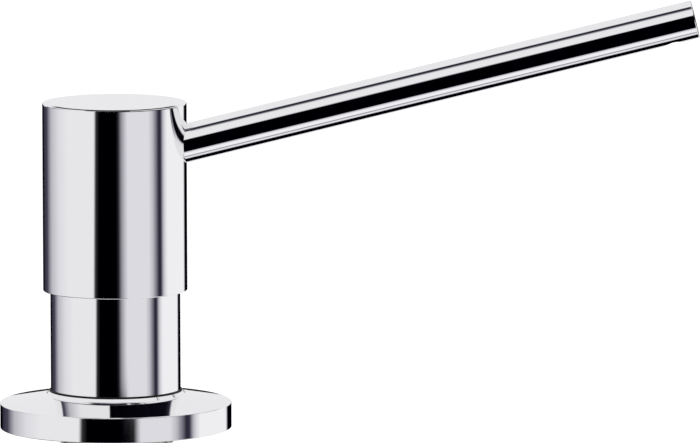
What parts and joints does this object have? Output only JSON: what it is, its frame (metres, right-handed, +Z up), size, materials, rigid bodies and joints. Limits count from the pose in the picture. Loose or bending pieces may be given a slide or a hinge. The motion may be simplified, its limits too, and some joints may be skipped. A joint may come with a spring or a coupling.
{
  "type": "sink soap dispenser",
  "caption": "Deck-mounted sink soap dispenser: press-down head with a long rising spout, a neck on a round base, and the pump, clamp and bottle below the deck.",
  "frame": {"origin": "centre of the round base on the deck surface, where the shank enters the deck hole", "axes": "+Z up along the neck's axis, +X the way the spout points at rest"},
  "size_m": [0.1581, 0.064, 0.2786],
  "materials": {
    "chrome": "mirror polished",
    "stainless": "turned and drawn stainless steel",
    "shank_metal": "nickel-plated brass, satin",
    "white_plastic": "moulded, satin",
    "black_plastic": "moulded, fine matt grain",
    "rubber": "matt",
    "milky_plastic": "translucent blown polyethylene"
  },
  "bodies": {
    "base": {"base_flange": "chrome", "flange_gasket": "rubber", "neck_ring": "rubber", "neck_sleeve": "chrome", "threaded_shank": "shank_metal"},
    "pump": {"pump_cylinder": "white_plastic", "pump_closure": "white_plastic", "closure_gasket": "rubber", "ball_cage": "white_plastic", "dip_tube": "milky_plastic", "return_spring": "stainless"},
    "inlet_valve": {"inlet_ball": "stainless"},
    "plunger": {"stem": "white_plastic", "stem_seal": "rubber", "piston": "white_plastic", "piston_seal": "rubber"},
    "outlet_valve": {"outlet_ball": "stainless"},
    "head": {"head_sleeve": "chrome", "head_core": "white_plastic", "spout_tube": "chrome", "spout_tip_plug": "chrome", "spout_seal": "rubber"},
    "clamp": {"deck_pad": "rubber", "clamp_plate": "stainless"},
    "nut": {"mounting_nut": "black_plastic"},
    "bottle": {"bottle": "milky_plastic", "bottle_seal": "rubber"}
  },
  "joints": [
    {"name": "pump_lift_out", "type": "slide", "parent": "base", "child": "pump", "axis": [0, 0, 1], "range_m": [0, 0.24]},
    {"name": "pump_stroke", "type": "slide", "parent": "pump", "child": "plunger", "axis": [0, 0, -1], "range_m": [0, 0.013], "stiffness_N_per_m": 400, "springref_m": -0.02, "deforming": ["return_spring"]},
    {"name": "spout_swivel", "type": "hinge", "parent": "plunger", "child": "head", "pos_m": [0, 0, 0.058], "axis": [0, 0, 1], "continuous": true},
    {"name": "inlet_ball_lift", "type": "slide", "parent": "pump", "child": "inlet_valve", "axis": [0, 0, 1], "range_m": [0, 0.002]},
    {"name": "outlet_ball_lift", "type": "slide", "parent": "plunger", "child": "outlet_valve", "axis": [0, 0, 1], "range_m": [0, 0.0014]},
    {"name": "clamp_travel", "type": "slide", "parent": "base", "child": "clamp", "axis": [0, 0, 1], "range_m": [-0.009, 0.018]},
    {"name": "nut_turn", "type": "hinge", "parent": "clamp", "child": "nut", "pos_m": [0, 0, -0.0285], "axis": [0, 0, 1], "range_deg": [-1620, 3240]},
    {"name": "bottle_release", "type": "slide", "parent": "base", "child": "bottle", "axis": [0, 0, -1], "range_m": [0, 0.17]}
  ],
  "couplings": [
    {"joint": "clamp_travel", "follows": "nut_turn", "m_per_rad": 0.0003183}
  ]
}
